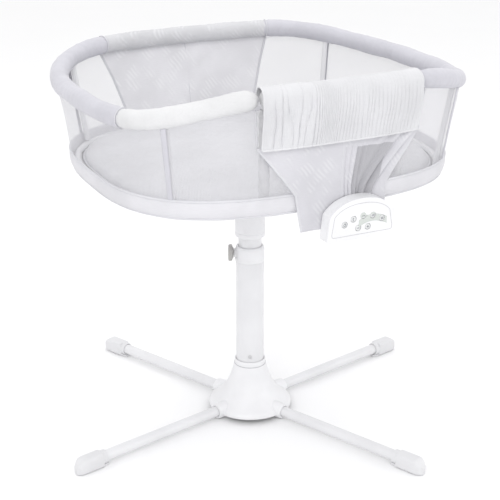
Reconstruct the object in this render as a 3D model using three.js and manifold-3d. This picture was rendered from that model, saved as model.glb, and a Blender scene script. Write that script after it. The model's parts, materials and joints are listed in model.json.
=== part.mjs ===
// Bedside baby cradle: a four-legged base, a telescoping column, and an oval basket that
// swivels on the column. The basket has mesh walls, a padded rim, and a sprung bedside wall.
// Millimetres, +Z up. The origin is on the floor under the column's axis. +X runs along the
// basket's long side and -Y is the bedside face; the base stands turned under the basket.
import * as THREE from 'three';
import { mergeVertices } from 'three/addons/utils/BufferGeometryUtils.js';
import Module from 'manifold-3d';

const wasm = await Module();
wasm.setup();

// ---- driving dimensions -------------------------------------------------------------
const CLEARANCE = 0.4; // gap between pieces that touch
const BASE_TURN = THREE.MathUtils.degToRad(-26); // the base's angle under the basket

const FOOT_REACH = 453; // column axis to the middle of a foot
const LEG_ANGLE = THREE.MathUtils.degToRad(40.4); // legs from the base's own X axis
const LEG_RADIUS = 12;
const LEG_WALL = 1.5;
const LEG_HEIGHT = 19;
const LEG_START = 47;
const FOOT_LENGTH = 66;
const FOOT_WIDTH = 32;
const FOOT_HEIGHT = 34;

const COLUMN_RADIUS = 32;
const COLUMN_WALL = 2.5;
const COLUMN_FOOT = 14.5;
const COLUMN_TOP = 369;
const HUB_TOP = 127;
const CLAMP_TOP = 405;
const MAST_RADIUS = 26;
const MAST_WALL = 2.5;
const MAST_BOTTOM = 100;
const MAST_TOP = 560;
const LOCK_HEIGHT = 386;
const LOCK_PITCH = 30;
const LOCK_HOLES = 7;
const SOCKET_BOTTOM = 428;
const SOCKET_TOP = 574;
const SPINDLE_RADIUS = 14;

const BASKET_X = 14; // basket centre ahead of the column along X
const TRAY_LENGTH = 772;
const TRAY_WIDTH = 670;
const TRAY_BOTTOM = 586;
const TRAY_TOP = 633;
const TRAY_WALL = 4;
const OUTLINE_POWER = 3; // 2 is an ellipse, higher is squarer
const RIM_SPREAD = 14; // rim centre line outside the tray's edge at the ends
const RIM_SPREAD_SIDE = 10; // and along the sides
const RIM_LOW = 787; // rim centre height at the ends
const RIM_FRONT = 832; // and at the bedside
const RIM_REAR = 816; // and at the rear
const PAD_RADIUS = 22;
const FRAME_RADIUS = 7;
const WALL_THICKNESS = 2.6;

const FRONT = -88; // polar angle of the middle of the bedside wall, in degrees
const RAIL_START = -115;
const RAIL_END = -61;
const RAIL_RADIUS = 5.5;
const RAIL_X = 30;
const RAIL_SPAN = 300;
const GUIDE_Y = -307;
const GUIDE_BOTTOM = 629;
const GUIDE_TOP = 725;
const ROD_BOTTOM = 693;
const BAND_BOTTOM = 736;

const UNIT_X = 64; // control unit centre
const UNIT_BOTTOM = 536;
const UNIT_WIDTH = 160;
const UNIT_HEIGHT = 84;
const UNIT_BACK = -343;
const UNIT_FRONT = -367;
const FACE_THICKNESS = 7;
const BUTTON_RADIUS = 6.5;

// ---- materials ----------------------------------------------------------------------
const steel = { color: 0xe3e3e6, roughness: 0.35, metalness: 0.3 };
const zinc = { color: 0xb9bbbf, roughness: 0.4, metalness: 0.9 };
const plastic = { color: 0xeeeef0, roughness: 0.42, metalness: 0 };
const nylon = { color: 0xd6d5cf, roughness: 0.6, metalness: 0 };
const rubber = { color: 0xcfcfd2, roughness: 0.8, metalness: 0 };
const board = { color: 0xcdb48c, roughness: 0.75, metalness: 0 };
const mattress = { color: 0xf2f1ee, roughness: 0.9, metalness: 0 };
const padding = { color: 0xd9d8df, roughness: 0.9, metalness: 0 };
const printed = { color: 0xcfced6, roughness: 0.9, metalness: 0 };
const gathered = { color: 0xececef, roughness: 0.9, metalness: 0 };
const netting = { color: 0xe6e6ea, roughness: 0.85, metalness: 0 };
const circuit = { color: 0x3d6b4a, roughness: 0.5, metalness: 0 };
const buttonGrey = { color: 0xa9adb0, roughness: 0.5, metalness: 0 };

const cradle = new THREE.Group();
const base = new THREE.Group();
base.rotation.z = BASE_TURN;
cradle.add(base);

function add(group, name, geometry, look) {
  const mesh = new THREE.Mesh(geometry, new THREE.MeshStandardMaterial(look));
  mesh.name = name;
  group.add(mesh);
  return mesh;
}

// ---- solids -------------------------------------------------------------------------
function toManifold(geometry) {
  const bare = geometry.clone();
  bare.deleteAttribute('normal');
  bare.deleteAttribute('uv');
  const merged = mergeVertices(bare, 1e-3);
  return new wasm.Manifold(new wasm.Mesh({
    numProp: 3,
    vertProperties: new Float32Array(merged.attributes.position.array),
    triVerts: new Uint32Array(merged.index.array),
  }));
}

function toGeometry(manifold) {
  const result = manifold.getMesh();
  const geometry = new THREE.BufferGeometry();
  geometry.setAttribute('position', new THREE.BufferAttribute(result.vertProperties, 3));
  geometry.setIndex(new THREE.BufferAttribute(result.triVerts, 1));
  geometry.computeVertexNormals();
  return geometry;
}

function join(first, ...others) {
  return toGeometry(others.reduce((sum, each) => sum.add(toManifold(each)), toManifold(first)));
}

function cut(body, ...tools) {
  return toGeometry(tools.reduce((rest, each) => rest.subtract(toManifold(each)), toManifold(body)));
}

// A turned solid about Z. The profile is a list of [radius, height] going round the
// section anticlockwise, and it closes on itself unless it starts and ends on the axis.
function turned(profile, segments = 32) {
  const points = profile.map(([radius, height]) => new THREE.Vector2(radius, height));
  const open = profile[0][0] === 0 && profile[profile.length - 1][0] === 0;
  if (!open) points.push(points[0].clone());
  const geometry = new THREE.LatheGeometry(points, segments);
  geometry.rotateX(Math.PI / 2);
  return geometry;
}

function tubeAlongZ(inner, outer, bottom, top, segments = 32) {
  return turned([[inner, bottom], [outer, bottom], [outer, top], [inner, top]], segments);
}

function rodAlongZ(radius, bottom, top, segments = 24) {
  return turned([[0, bottom], [radius, bottom], [radius, top], [0, top]], segments);
}

// The same shapes lying along +X, with the given height of their axis.
function layAlongX(geometry, height) {
  geometry.rotateY(Math.PI / 2);
  geometry.translate(0, 0, height);
  return geometry;
}

function bar(path, radius, steps, sides = 5, bore = 0) {
  const section = new THREE.Shape();
  section.absarc(0, 0, radius, 0, Math.PI * 2);
  if (bore > 0) {
    const hole = new THREE.Path();
    hole.absarc(0, 0, bore, 0, Math.PI * 2, true);
    section.holes.push(hole);
  }
  return new THREE.ExtrudeGeometry(section, {
    extrudePath: path, steps, curveSegments: sides, bevelEnabled: false,
  });
}

// ---- the basket's outline -----------------------------------------------------------
// A superellipse in polar form: the point at a polar angle, grown by the given margins.
function outline(angle, marginX, marginY = marginX) {
  const c = Math.cos(angle);
  const s = Math.sin(angle);
  const a = TRAY_LENGTH / 2 + marginX;
  const b = TRAY_WIDTH / 2 + marginY;
  const sum = Math.abs(c / a) ** OUTLINE_POWER + Math.abs(s / b) ** OUTLINE_POWER;
  const reach = sum ** (-1 / OUTLINE_POWER);
  return new THREE.Vector2(BASKET_X + reach * c, reach * s);
}

// 1 within the inner angle of a middle direction, 0 beyond the outer one.
function bump(angle, middle, inner, outer) {
  const away = Math.abs(THREE.MathUtils.euclideanModulo(angle - middle + 180, 360) - 180);
  return 1 - THREE.MathUtils.smoothstep(away, inner, outer);
}

function rimHeight(degrees) {
  const front = (RIM_FRONT - RIM_LOW) * bump(degrees, FRONT, 27, 66);
  const rear = (RIM_REAR - RIM_LOW) * bump(degrees, 92, 32, 72);
  return RIM_LOW + front + rear;
}

function rimPoint(degrees) {
  const p = outline(THREE.MathUtils.degToRad(degrees), RIM_SPREAD, RIM_SPREAD_SIDE);
  return new THREE.Vector3(p.x, p.y, rimHeight(degrees));
}

class RimCurve extends THREE.Curve {
  constructor(start, end) {
    super();
    this.start = start;
    this.end = end;
  }

  getPoint(t, target = new THREE.Vector3()) {
    return target.copy(rimPoint(THREE.MathUtils.lerp(this.start, this.end, t)));
  }
}

// A solid of revolution pulled out to the basket's outline. The profile is a list of
// [inset from the tray's edge, height]; an inset of Infinity is the middle.
function outlined(profile, segments = 56) {
  const datum = 1000;
  const geometry = turned(profile.map(([inset, height]) => [
    inset === Infinity ? 0 : datum - inset, height,
  ]), segments);
  const position = geometry.attributes.position;
  for (let i = 0; i < position.count; i += 1) {
    const x = position.getX(i);
    const y = position.getY(i);
    const radius = Math.hypot(x, y);
    if (radius < 1) {
      position.setXY(i, BASKET_X, 0);
    } else {
      const p = outline(Math.atan2(y, x), radius - datum);
      position.setXY(i, p.x, p.y);
    }
  }
  return geometry;
}

// A box bent round the basket. place(along, inward, up) gives the point for each of the
// box's own coordinates, which run from 0 to 1 along and up and from -0.5 to 0.5 across.
function bent(alongSteps, upSteps, place) {
  const geometry = new THREE.BoxGeometry(1, 1, 1, alongSteps, 1, upSteps);
  const position = geometry.attributes.position;
  for (let i = 0; i < position.count; i += 1) {
    const p = place(position.getX(i) + 0.5, position.getY(i), position.getZ(i) + 0.5);
    position.setXYZ(i, p.x, p.y, p.z);
  }
  return geometry;
}

// A stretch of the fabric wall between the tray's edge and the rim. Each end is three
// angles, at the tray, at the height of the rail band's bottom edge, and at the rim.
function wall(start, end, steps, full = true) {
  const bottom = TRAY_TOP + CLEARANCE;
  return bent(steps, full ? 2 : 1, (along, inward, up) => {
    const level = full ? up * 2 : up;
    const pick = ([low, belt, high]) => (
      level < 1 ? THREE.MathUtils.lerp(low, belt, level) : THREE.MathUtils.lerp(belt, high, level - 1)
    );
    const degrees = THREE.MathUtils.lerp(pick(start), pick(end), along);
    const under = rimHeight(degrees) - PAD_RADIUS + 1.5;
    const belt = full ? BAND_BOTTOM : BAND_BOTTOM - 1;
    const height = pick([bottom, belt, under]);
    const rise = (height - TRAY_TOP) / (under - TRAY_TOP);
    const offset = -inward * WALL_THICKNESS;
    const spread = THREE.MathUtils.lerp(-2, RIM_SPREAD + 10, rise) + offset;
    const spreadSide = THREE.MathUtils.lerp(-2, RIM_SPREAD_SIDE + 10, rise) + offset;
    const p = outline(THREE.MathUtils.degToRad(degrees), spread, spreadSide);
    return new THREE.Vector3(p.x, p.y, height);
  });
}

// ---- base ---------------------------------------------------------------------------
const legAngles = {
  front_right: -LEG_ANGLE,
  rear_right: LEG_ANGLE,
  rear_left: Math.PI - LEG_ANGLE,
  front_left: Math.PI + LEG_ANGLE,
};

function legRod(radius, start, end, angle) {
  const rod = layAlongX(rodAlongZ(radius, start, end, 16), LEG_HEIGHT);
  rod.rotateZ(angle);
  return rod;
}

function makeHub() {
  const bosses = Object.values(legAngles).map((angle) => legRod(17.5, 78, 103, angle));
  const bores = Object.values(legAngles).map((angle) => legRod(LEG_RADIUS + CLEARANCE, 40, 120, angle));
  const skin = turned([
    [93.5, 12], [96, 12], [95, 20], [82, 30], [66, 45], [52, 66], [43, 90], [36.5, 112],
    [35, HUB_TOP], [COLUMN_RADIUS + CLEARANCE, HUB_TOP], [COLUMN_RADIUS + CLEARANCE, 116],
    [40.5, 89], [49.5, 65], [63.5, 43.5], [79.5, 28.5], [92, 18],
  ], 32);
  add(base, 'hub_shell', cut(join(skin, ...bosses), ...bores), plastic);

  const sockets = Object.values(legAngles).map((angle) => legRod(15.5, 36, 69, angle));
  const seats = Object.values(legAngles).map((angle) => (
    legRod(LEG_RADIUS + CLEARANCE, LEG_START - CLEARANCE, 90, angle)
  ));
  const block = rodAlongZ(44, 7, 58, 32);
  const columnSeat = rodAlongZ(COLUMN_RADIUS + CLEARANCE, COLUMN_FOOT - CLEARANCE, 60, 32);
  add(base, 'hub_core', cut(join(block, ...sockets), columnSeat, ...seats), zinc);

  add(base, 'hub_base_plate', rodAlongZ(72, 1.5, 3.1, 40), plastic);

  const screwHead = turned([[0, 0], [4.2, 0], [4.2, 1.4], [2.6, 2.2], [0, 2.4]], 16);
  layAlongX(screwHead, 141);
  screwHead.translate(COLUMN_RADIUS + CLEARANCE, 0, 0);
  screwHead.rotateZ(-Math.PI / 2);
  add(base, 'column_screw', screwHead, zinc);
}

function footSide() {
  const heel = FOOT_REACH - FOOT_LENGTH / 2;
  const toe = FOOT_REACH + FOOT_LENGTH / 2;
  const side = new THREE.Shape();
  side.moveTo(heel - 12, 0);
  side.lineTo(toe - 5, 0);
  side.quadraticCurveTo(toe, 0, toe, 6);
  side.lineTo(toe, FOOT_HEIGHT - 13);
  side.quadraticCurveTo(toe, FOOT_HEIGHT, toe - 14, FOOT_HEIGHT);
  side.lineTo(heel + 3, FOOT_HEIGHT);
  side.quadraticCurveTo(heel, FOOT_HEIGHT, heel, FOOT_HEIGHT - 3);
  side.lineTo(heel, 9);
  side.lineTo(heel - 12, 8);
  return side;
}

function makeLegs() {
  for (const [place, angle] of Object.entries(legAngles)) {
    const tube = tubeAlongZ(LEG_RADIUS - LEG_WALL, LEG_RADIUS, LEG_START, FOOT_REACH + 18, 20);
    layAlongX(tube, LEG_HEIGHT);
    tube.rotateZ(angle);
    add(base, `leg_${place}`, tube, steel);

    const boot = new THREE.ExtrudeGeometry(footSide(), {
      depth: FOOT_WIDTH - 4, bevelEnabled: true, bevelThickness: 2, bevelSize: 2,
      bevelOffset: -2, bevelSegments: 2, curveSegments: 4,
    });
    boot.rotateX(Math.PI / 2);
    boot.translate(0, FOOT_WIDTH / 2 - 2, 0);
    boot.rotateZ(angle);
    const bore = legRod(LEG_RADIUS + CLEARANCE, 300, FOOT_REACH + 18 + CLEARANCE, angle);
    add(base, `foot_${place}`, cut(boot, bore), rubber);
  }
}

function makeColumn() {
  add(base, 'column_outer', tubeAlongZ(
    COLUMN_RADIUS - COLUMN_WALL, COLUMN_RADIUS, COLUMN_FOOT, COLUMN_TOP, 36,
  ), steel);

  const seat = COLUMN_TOP + CLEARANCE;
  const bushRadius = COLUMN_RADIUS - COLUMN_WALL - CLEARANCE;
  const ring = turned([
    [MAST_RADIUS + CLEARANCE, 335], [bushRadius, 335], [bushRadius, seat],
    [COLUMN_RADIUS + 0.5, seat], [COLUMN_RADIUS + 0.5, CLAMP_TOP - 3],
    [COLUMN_RADIUS - 2, CLAMP_TOP], [MAST_RADIUS + CLEARANCE, CLAMP_TOP],
  ], 36);
  const boss = layAlongX(rodAlongZ(9.5, -36, -28.5, 20), LOCK_HEIGHT);
  const bore = layAlongX(rodAlongZ(5.4, -60, -20, 20), LOCK_HEIGHT);
  add(base, 'clamp_collar', cut(join(ring, boss), bore), plastic);

  const pin = layAlongX(rodAlongZ(5, -46, -MAST_RADIUS - CLEARANCE, 20), LOCK_HEIGHT);
  add(base, 'lock_pin', pin, zinc);
  const knob = turned([
    [5.3, -49], [14, -49], [18, -47.5], [19, -44.5], [19, -41], [17.5, -38.5], [11, -36.8],
    [5.3, -36.8],
  ], 28);
  add(base, 'lock_knob', layAlongX(knob, LOCK_HEIGHT), buttonGrey);
}

function makeMast() {
  const tube = tubeAlongZ(MAST_RADIUS - MAST_WALL, MAST_RADIUS, MAST_BOTTOM, MAST_TOP, 36);
  const holes = Array.from({ length: LOCK_HOLES }, (_, i) => (
    layAlongX(rodAlongZ(5.6, -MAST_RADIUS - 4, -MAST_RADIUS + 6, 12), LOCK_HEIGHT - i * LOCK_PITCH)
  ));
  add(base, 'column_inner', cut(tube, ...holes), steel);
  add(base, 'mast_bush', tubeAlongZ(
    MAST_RADIUS + CLEARANCE, COLUMN_RADIUS - COLUMN_WALL - CLEARANCE, MAST_BOTTOM, 128, 32,
  ), nylon);
  add(base, 'swivel_socket', turned([
    [MAST_RADIUS + CLEARANCE, SOCKET_BOTTOM], [33, SOCKET_BOTTOM], [33.6, SOCKET_BOTTOM + 1.5],
    [33.6, SOCKET_TOP - 2], [32, SOCKET_TOP], [MAST_RADIUS + CLEARANCE, SOCKET_TOP],
  ], 36), plastic);
  for (const [place, bottom] of [['lower', 484], ['upper', 534]]) {
    add(base, `swivel_bush_${place}`, tubeAlongZ(
      SPINDLE_RADIUS + CLEARANCE, MAST_RADIUS - MAST_WALL - CLEARANCE, bottom, bottom + 22, 32,
    ), nylon);
  }
}

// ---- basket -------------------------------------------------------------------------
function makeSwivel() {
  add(cradle, 'swivel_spindle', rodAlongZ(SPINDLE_RADIUS, 478, 578.6, 28), zinc);
  add(cradle, 'swivel_plate', turned([
    [0, 579], [88, 579], [95, 581], [95, 585.5], [0, 585.5],
  ], 40), steel);
}

function makeTray() {
  add(cradle, 'tray_shell', outlined([
    [Infinity, TRAY_BOTTOM], [34, TRAY_BOTTOM], [20, TRAY_BOTTOM + 1.5], [9, TRAY_BOTTOM + 6],
    [2, TRAY_BOTTOM + 15], [0, TRAY_BOTTOM + 26], [0, TRAY_TOP - 2], [1, TRAY_TOP],
    [TRAY_WALL, TRAY_TOP], [TRAY_WALL, TRAY_BOTTOM + 26], [10, TRAY_BOTTOM + 12],
    [22, TRAY_BOTTOM + TRAY_WALL + 1], [34, TRAY_BOTTOM + TRAY_WALL],
    [Infinity, TRAY_BOTTOM + TRAY_WALL],
  ]), plastic);
  add(cradle, 'mattress_board', outlined([
    [Infinity, 590.5], [32, 590.5], [32, 595.5], [Infinity, 595.5],
  ], 44), board);
  add(cradle, 'mattress_pad', outlined([
    [Infinity, 596], [34, 596], [29, 601], [27, 612], [30, 622], [37, 628], [Infinity, 628],
  ], 44), mattress);
  const ringPoints = Array.from({ length: 6 }, (_, i) => {
    const angle = (i / 6) * Math.PI * 2;
    return [15.5 - FRAME_RADIUS * Math.cos(angle), 612 + FRAME_RADIUS * Math.sin(angle)];
  });
  add(cradle, 'lower_frame', outlined(ringPoints, 48), steel);
}

const postAngles = { front_right: -40, rear_right: 40, rear_left: 140, front_left: 220 };

function postLine(degrees, extraTop = 0) {
  const foot = outline(THREE.MathUtils.degToRad(degrees), -15.5);
  const bottom = new THREE.Vector3(foot.x, foot.y, 612);
  const top = rimPoint(degrees);
  const direction = top.clone().sub(bottom).normalize();
  return new THREE.LineCurve3(
    bottom.addScaledVector(direction, FRAME_RADIUS + 2.2),
    top.addScaledVector(direction, extraTop - FRAME_RADIUS - 2.2),
  );
}

const rimGap = 0.7; // degrees between the rim's ends and the rail's

function makeRim() {
  for (const [place, degrees] of Object.entries(postAngles)) {
    add(cradle, `post_${place}`, bar(postLine(degrees), 6, 1, 6), steel);
  }
  const rim = new RimCurve(RAIL_END + rimGap, RAIL_START + 360 - rimGap);
  add(cradle, 'rim_frame', bar(rim, FRAME_RADIUS, 44, 4), steel);
  const pad = bar(rim, PAD_RADIUS, 44, 5, FRAME_RADIUS + CLEARANCE + 0.5);
  const postHoles = Object.values(postAngles).map((degrees) => bar(postLine(degrees, 8), 6.4, 1, 6));
  add(cradle, 'rim_pad', cut(pad, ...postHoles), padding);
}

function makeWalls() {
  add(cradle, 'rear_panel', wall([65.3, 62.6, 60.5], [117.2, 121.8, 125.5], 14), printed);
  add(cradle, 'mesh_rear_right', wall([0.2, 0.2, 0.2], [64.9, 62.2, 60.1], 14), netting);
  add(cradle, 'mesh_rear_left', wall([117.6, 122.2, 125.9], [179.8, 179.8, 179.8], 14), netting);
  add(cradle, 'mesh_front_left', wall([180.2, 180.2, 180.2], [256.4, 244.2, 243.6], 16), netting);
  add(cradle, 'mesh_front_right', wall([-69.4, -59.2, -58.4], [-0.2, -0.2, -0.2], 16), netting);
  add(cradle, 'apron_upper', wall([-103.2, -115.4, 0], [-69.8, -59.6, 0], 12, false), printed);
  add(cradle, 'apron_lower', bent(12, 4, (along, inward, up) => {
    const start = THREE.MathUtils.lerp(-101, -103.2, up);
    const degrees = THREE.MathUtils.lerp(start, -THREE.MathUtils.lerp(71, 69.8, up), along);
    const margin = 2.2 - 2.4 * inward;
    const p = outline(THREE.MathUtils.degToRad(degrees), margin);
    return new THREE.Vector3(p.x, p.y, THREE.MathUtils.lerp(556, TRAY_TOP, up));
  }), printed);
}

// ---- bedside rail -------------------------------------------------------------------
function railPath() {
  const start = RAIL_X - RAIL_SPAN / 2;
  const end = RAIL_X + RAIL_SPAN / 2;
  const top = RIM_FRONT;
  const rise = [ROD_BOTTOM, 720, 745, 770, 792];
  const leftLeg = rise.map((z) => new THREE.Vector3(start, GUIDE_Y, z));
  const rightLeg = rise.map((z) => new THREE.Vector3(end, GUIDE_Y, z)).reverse();
  const across = Array.from({ length: 8 }, (_, i) => rimPoint(-107 + (37 * i) / 7));
  return new THREE.CatmullRomCurve3([
    ...leftLeg, new THREE.Vector3(start, GUIDE_Y, 806),
    new THREE.Vector3(start + 3, GUIDE_Y - 8, top - 11), new THREE.Vector3(start + 10, GUIDE_Y - 22, top - 2),
    ...across,
    new THREE.Vector3(end - 10, GUIDE_Y - 22, top - 2), new THREE.Vector3(end - 3, GUIDE_Y - 8, top - 11),
    new THREE.Vector3(end, GUIDE_Y, 806), ...rightLeg,
  ], false, 'centripetal');
}

class Helix extends THREE.Curve {
  constructor(centre, radius, bottom, top, turns) {
    super();
    Object.assign(this, { centre, radius, bottom, top, turns });
  }

  getPoint(t, target = new THREE.Vector3()) {
    const angle = t * this.turns * Math.PI * 2;
    return target.set(
      this.centre.x + this.radius * Math.cos(angle),
      this.centre.y + this.radius * Math.sin(angle),
      THREE.MathUtils.lerp(this.bottom, this.top, t),
    );
  }
}

function makeRail() {
  const path = railPath();
  add(cradle, 'rail_frame', bar(path, RAIL_RADIUS, 56, 4), steel);
  const sleeve = bar(new RimCurve(RAIL_START, RAIL_END), PAD_RADIUS, 12, 6);
  const bore = bar(path, RAIL_RADIUS + 0.6, 56, 4);
  add(cradle, 'rail_pad', cut(sleeve, bore), gathered);
  add(cradle, 'rail_band', bent(16, 2, (along, inward, up) => {
    const degrees = THREE.MathUtils.lerp(RAIL_START, RAIL_END, along);
    const margin = 9 - 11 * inward;
    const p = outline(THREE.MathUtils.degToRad(degrees), RIM_SPREAD + margin, RIM_SPREAD_SIDE + margin);
    const top = rimHeight(degrees) - PAD_RADIUS - 0.5;
    return new THREE.Vector3(p.x, p.y, THREE.MathUtils.lerp(BAND_BOTTOM, top, up));
  }), gathered);
  for (const [place, side] of [['left', -1], ['right', 1]]) {
    const centre = new THREE.Vector2(RAIL_X + (side * RAIL_SPAN) / 2, GUIDE_Y);
    const guide = tubeAlongZ(RAIL_RADIUS + 0.5, 8, GUIDE_BOTTOM, GUIDE_TOP, 16);
    guide.translate(centre.x, centre.y, 0);
    add(cradle, `rail_guide_${place}`, guide, nylon);
    const coil = new Helix(centre, 8.2, GUIDE_TOP + 1.8, 798, 6);
    add(cradle, `rail_spring_${place}`, bar(coil, 1.1, 54, 3), zinc);
  }
}

// ---- control unit -------------------------------------------------------------------
function unitShape(inset = 0) {
  const half = UNIT_WIDTH / 2 - inset;
  const shoulder = UNIT_HEIGHT * 0.62;
  const shape = new THREE.Shape();
  shape.moveTo(-half + 5, inset);
  shape.lineTo(half - 5, inset);
  shape.quadraticCurveTo(half, inset, half - 0.5, inset + 5);
  shape.lineTo(half - 7, shoulder);
  shape.quadraticCurveTo(half * 0.62, UNIT_HEIGHT - inset, 0, UNIT_HEIGHT - inset);
  shape.quadraticCurveTo(-half * 0.62, UNIT_HEIGHT - inset, -half + 7, shoulder);
  shape.lineTo(-half + 0.5, inset + 5);
  shape.quadraticCurveTo(-half, inset, -half + 5, inset);
  return shape;
}

// An extrusion of an upright shape from y = back towards the bedside, to y = front.
function upright(shape, back, front, bevel = 0) {
  const geometry = new THREE.ExtrudeGeometry(shape, {
    depth: back - front - 2 * bevel, curveSegments: 6, bevelEnabled: bevel > 0,
    bevelThickness: bevel, bevelSize: bevel, bevelOffset: -bevel, bevelSegments: 2,
  });
  geometry.rotateX(Math.PI / 2);
  geometry.translate(UNIT_X, back - bevel, UNIT_BOTTOM);
  return geometry;
}

const buttonPlaces = [
  [-40, 34], [-20, 43], [2, 47], [24, 45], [45, 36], [-9, 23], [13, 23],
];

function buttonRod(index, radius, back, front) {
  const [x, z] = buttonPlaces[index];
  const disc = new THREE.CylinderGeometry(radius, radius, back - front, 16);
  disc.translate(UNIT_X + x, (back + front) / 2, UNIT_BOTTOM + z);
  return disc;
}

function makeControlUnit() {
  const shell = upright(unitShape(), UNIT_BACK, UNIT_FRONT);
  const hollow = upright(unitShape(4), UNIT_BACK - 3, UNIT_FRONT - 5);
  add(cradle, 'control_back', cut(shell, hollow), plastic);

  const faceBack = UNIT_FRONT - CLEARANCE;
  const faceFront = faceBack - FACE_THICKNESS;
  const face = upright(unitShape(), faceBack, faceFront, 2);
  const holes = buttonPlaces.map((_, i) => (
    buttonRod(i, BUTTON_RADIUS + CLEARANCE, faceBack + 4, faceFront - 4)
  ));
  add(cradle, 'control_face', cut(face, ...holes), plastic);
  buttonPlaces.forEach((_, i) => {
    const button = buttonRod(i, BUTTON_RADIUS, faceBack - 0.5, faceFront - 2);
    add(cradle, `button_${i + 1}`, button, buttonGrey);
  });

  const card = new THREE.BoxGeometry(120, 1.6, 44);
  card.translate(UNIT_X, UNIT_FRONT + 4, UNIT_BOTTOM + 30);
  add(cradle, 'circuit_board', card, circuit);
  const speaker = new THREE.CylinderGeometry(17, 14, 9, 24);
  speaker.translate(UNIT_X, UNIT_FRONT + 12, UNIT_BOTTOM + 34);
  add(cradle, 'speaker', speaker, zinc);
}

makeHub();
makeLegs();
makeColumn();
makeMast();
makeSwivel();
makeTray();
makeRim();
makeWalls();
makeRail();
makeControlUnit();

export default cradle;
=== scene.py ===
import json
import math

import bmesh
import bpy
from mathutils import Matrix, Vector, noise


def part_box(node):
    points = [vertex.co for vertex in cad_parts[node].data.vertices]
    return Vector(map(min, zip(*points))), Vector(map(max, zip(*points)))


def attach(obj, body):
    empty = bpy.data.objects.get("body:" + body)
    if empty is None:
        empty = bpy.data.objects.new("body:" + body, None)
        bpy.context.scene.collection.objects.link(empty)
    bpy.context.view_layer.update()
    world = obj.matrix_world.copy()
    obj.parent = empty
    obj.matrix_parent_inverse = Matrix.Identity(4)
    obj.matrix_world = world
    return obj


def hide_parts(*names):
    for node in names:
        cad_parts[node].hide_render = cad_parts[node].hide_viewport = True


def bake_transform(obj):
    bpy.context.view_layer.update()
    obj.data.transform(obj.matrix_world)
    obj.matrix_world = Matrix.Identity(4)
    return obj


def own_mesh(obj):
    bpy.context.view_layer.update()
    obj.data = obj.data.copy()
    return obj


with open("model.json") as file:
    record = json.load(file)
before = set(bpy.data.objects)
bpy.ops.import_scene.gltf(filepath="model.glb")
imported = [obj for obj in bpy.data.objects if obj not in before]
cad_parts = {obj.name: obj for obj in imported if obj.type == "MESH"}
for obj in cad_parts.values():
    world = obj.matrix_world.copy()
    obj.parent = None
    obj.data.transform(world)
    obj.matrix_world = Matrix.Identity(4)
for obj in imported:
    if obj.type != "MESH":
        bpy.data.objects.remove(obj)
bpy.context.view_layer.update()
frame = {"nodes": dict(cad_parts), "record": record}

# ---- dimensions, in metres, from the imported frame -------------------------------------


def corners(node):
    low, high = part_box(node)
    return Vector(low), Vector(high)


tray_low, tray_high = corners("tray_shell")
rim_low = corners("rim_pad")[0]
rail_high = corners("rail_pad")[1]
band_low = corners("rail_band")[0]
apron_low = corners("apron_lower")[0]
mattress_low, mattress_high = corners("mattress_pad")
socket_low, socket_high = corners("swivel_socket")
outer_low, outer_high = corners("column_outer")
inner_low, inner_high = corners("column_inner")
collar_high = corners("clamp_collar")[1]
hub_high = corners("hub_shell")[1]
unit_low, unit_high = corners("control_back")
face_low, face_high = corners("control_face")
plate_low, plate_high = corners("swivel_plate")

CENTRE_X = (tray_low.x + tray_high.x) / 2
HALF_LENGTH = (tray_high.x - tray_low.x) / 2
HALF_WIDTH = (tray_high.y - tray_low.y) / 2
OUTLINE_POWER = 3.0
RIM_SPREAD = 0.014
RIM_SPREAD_SIDE = 0.010
PAD_RADIUS = 0.022
TRAY_TOP = tray_high.z
TRAY_BOTTOM = tray_low.z
RIM_LOW = rim_low.z + PAD_RADIUS
RIM_FRONT = rail_high.z - PAD_RADIUS
RIM_REAR = RIM_LOW + 0.029
RIM_FRONT_ANGLE = -88  # the middle of the bedside wall, in degrees round the basket
RIM_REAR_ANGLE = 92
RAIL_START = -115.0
RAIL_END = -61.0
BASE_TURN = math.radians(-26)
LEG_ANGLE = math.radians(40.4)
LEG_HEIGHT = 0.019
LEG_RADIUS = 0.012
LEG_WALL = 0.0015
COLUMN_WALL = 0.0025
COLUMN_RADIUS = (outer_high.x - outer_low.x) / 2
FOOT_REACH = 0.453
POSTS = {"front_right": -40.0, "rear_right": 40.0, "rear_left": 140.0, "front_left": 220.0}
LEGS = {
    "front_right": -LEG_ANGLE,
    "rear_right": LEG_ANGLE,
    "rear_left": math.pi - LEG_ANGLE,
    "front_left": math.pi + LEG_ANGLE,
}


def lerp(a, b, t):
    return a + (b - a) * t


def smooth(low, high, x):
    t = min(max((x - low) / (high - low), 0.0), 1.0)
    return t * t * (3 - 2 * t)


def outline(degrees, margin, margin_side=None):
    """The basket's plan, a superellipse, grown by the given margins."""
    angle = math.radians(degrees)
    c, s = math.cos(angle), math.sin(angle)
    a = HALF_LENGTH + margin
    b = HALF_WIDTH + (margin if margin_side is None else margin_side)
    total = abs(c / a) ** OUTLINE_POWER + abs(s / b) ** OUTLINE_POWER
    reach = total ** (-1 / OUTLINE_POWER)
    return Vector((CENTRE_X + reach * c, reach * s, 0))


def bump(degrees, middle, inner, outer):
    """1 within the inner angle of a middle direction, 0 beyond the outer one."""
    away = abs((degrees - middle + 180) % 360 - 180)
    return 1 - smooth(inner, outer, away)


def rim_height(degrees):
    front = (RIM_FRONT - RIM_LOW) * bump(degrees, RIM_FRONT_ANGLE, 27, 66)
    rear = (RIM_REAR - RIM_LOW) * bump(degrees, RIM_REAR_ANGLE, 32, 72)
    return RIM_LOW + front + rear


def rim_point(degrees):
    p = outline(degrees, RIM_SPREAD, RIM_SPREAD_SIDE)
    p.z = rim_height(degrees)
    return p


def outward(degrees):
    """The level unit normal of the rim's outline."""
    ahead, behind = outline(degrees + 0.4, 0), outline(degrees - 0.4, 0)
    along = (ahead - behind).normalized()
    return Vector((along.y, -along.x, 0))


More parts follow.
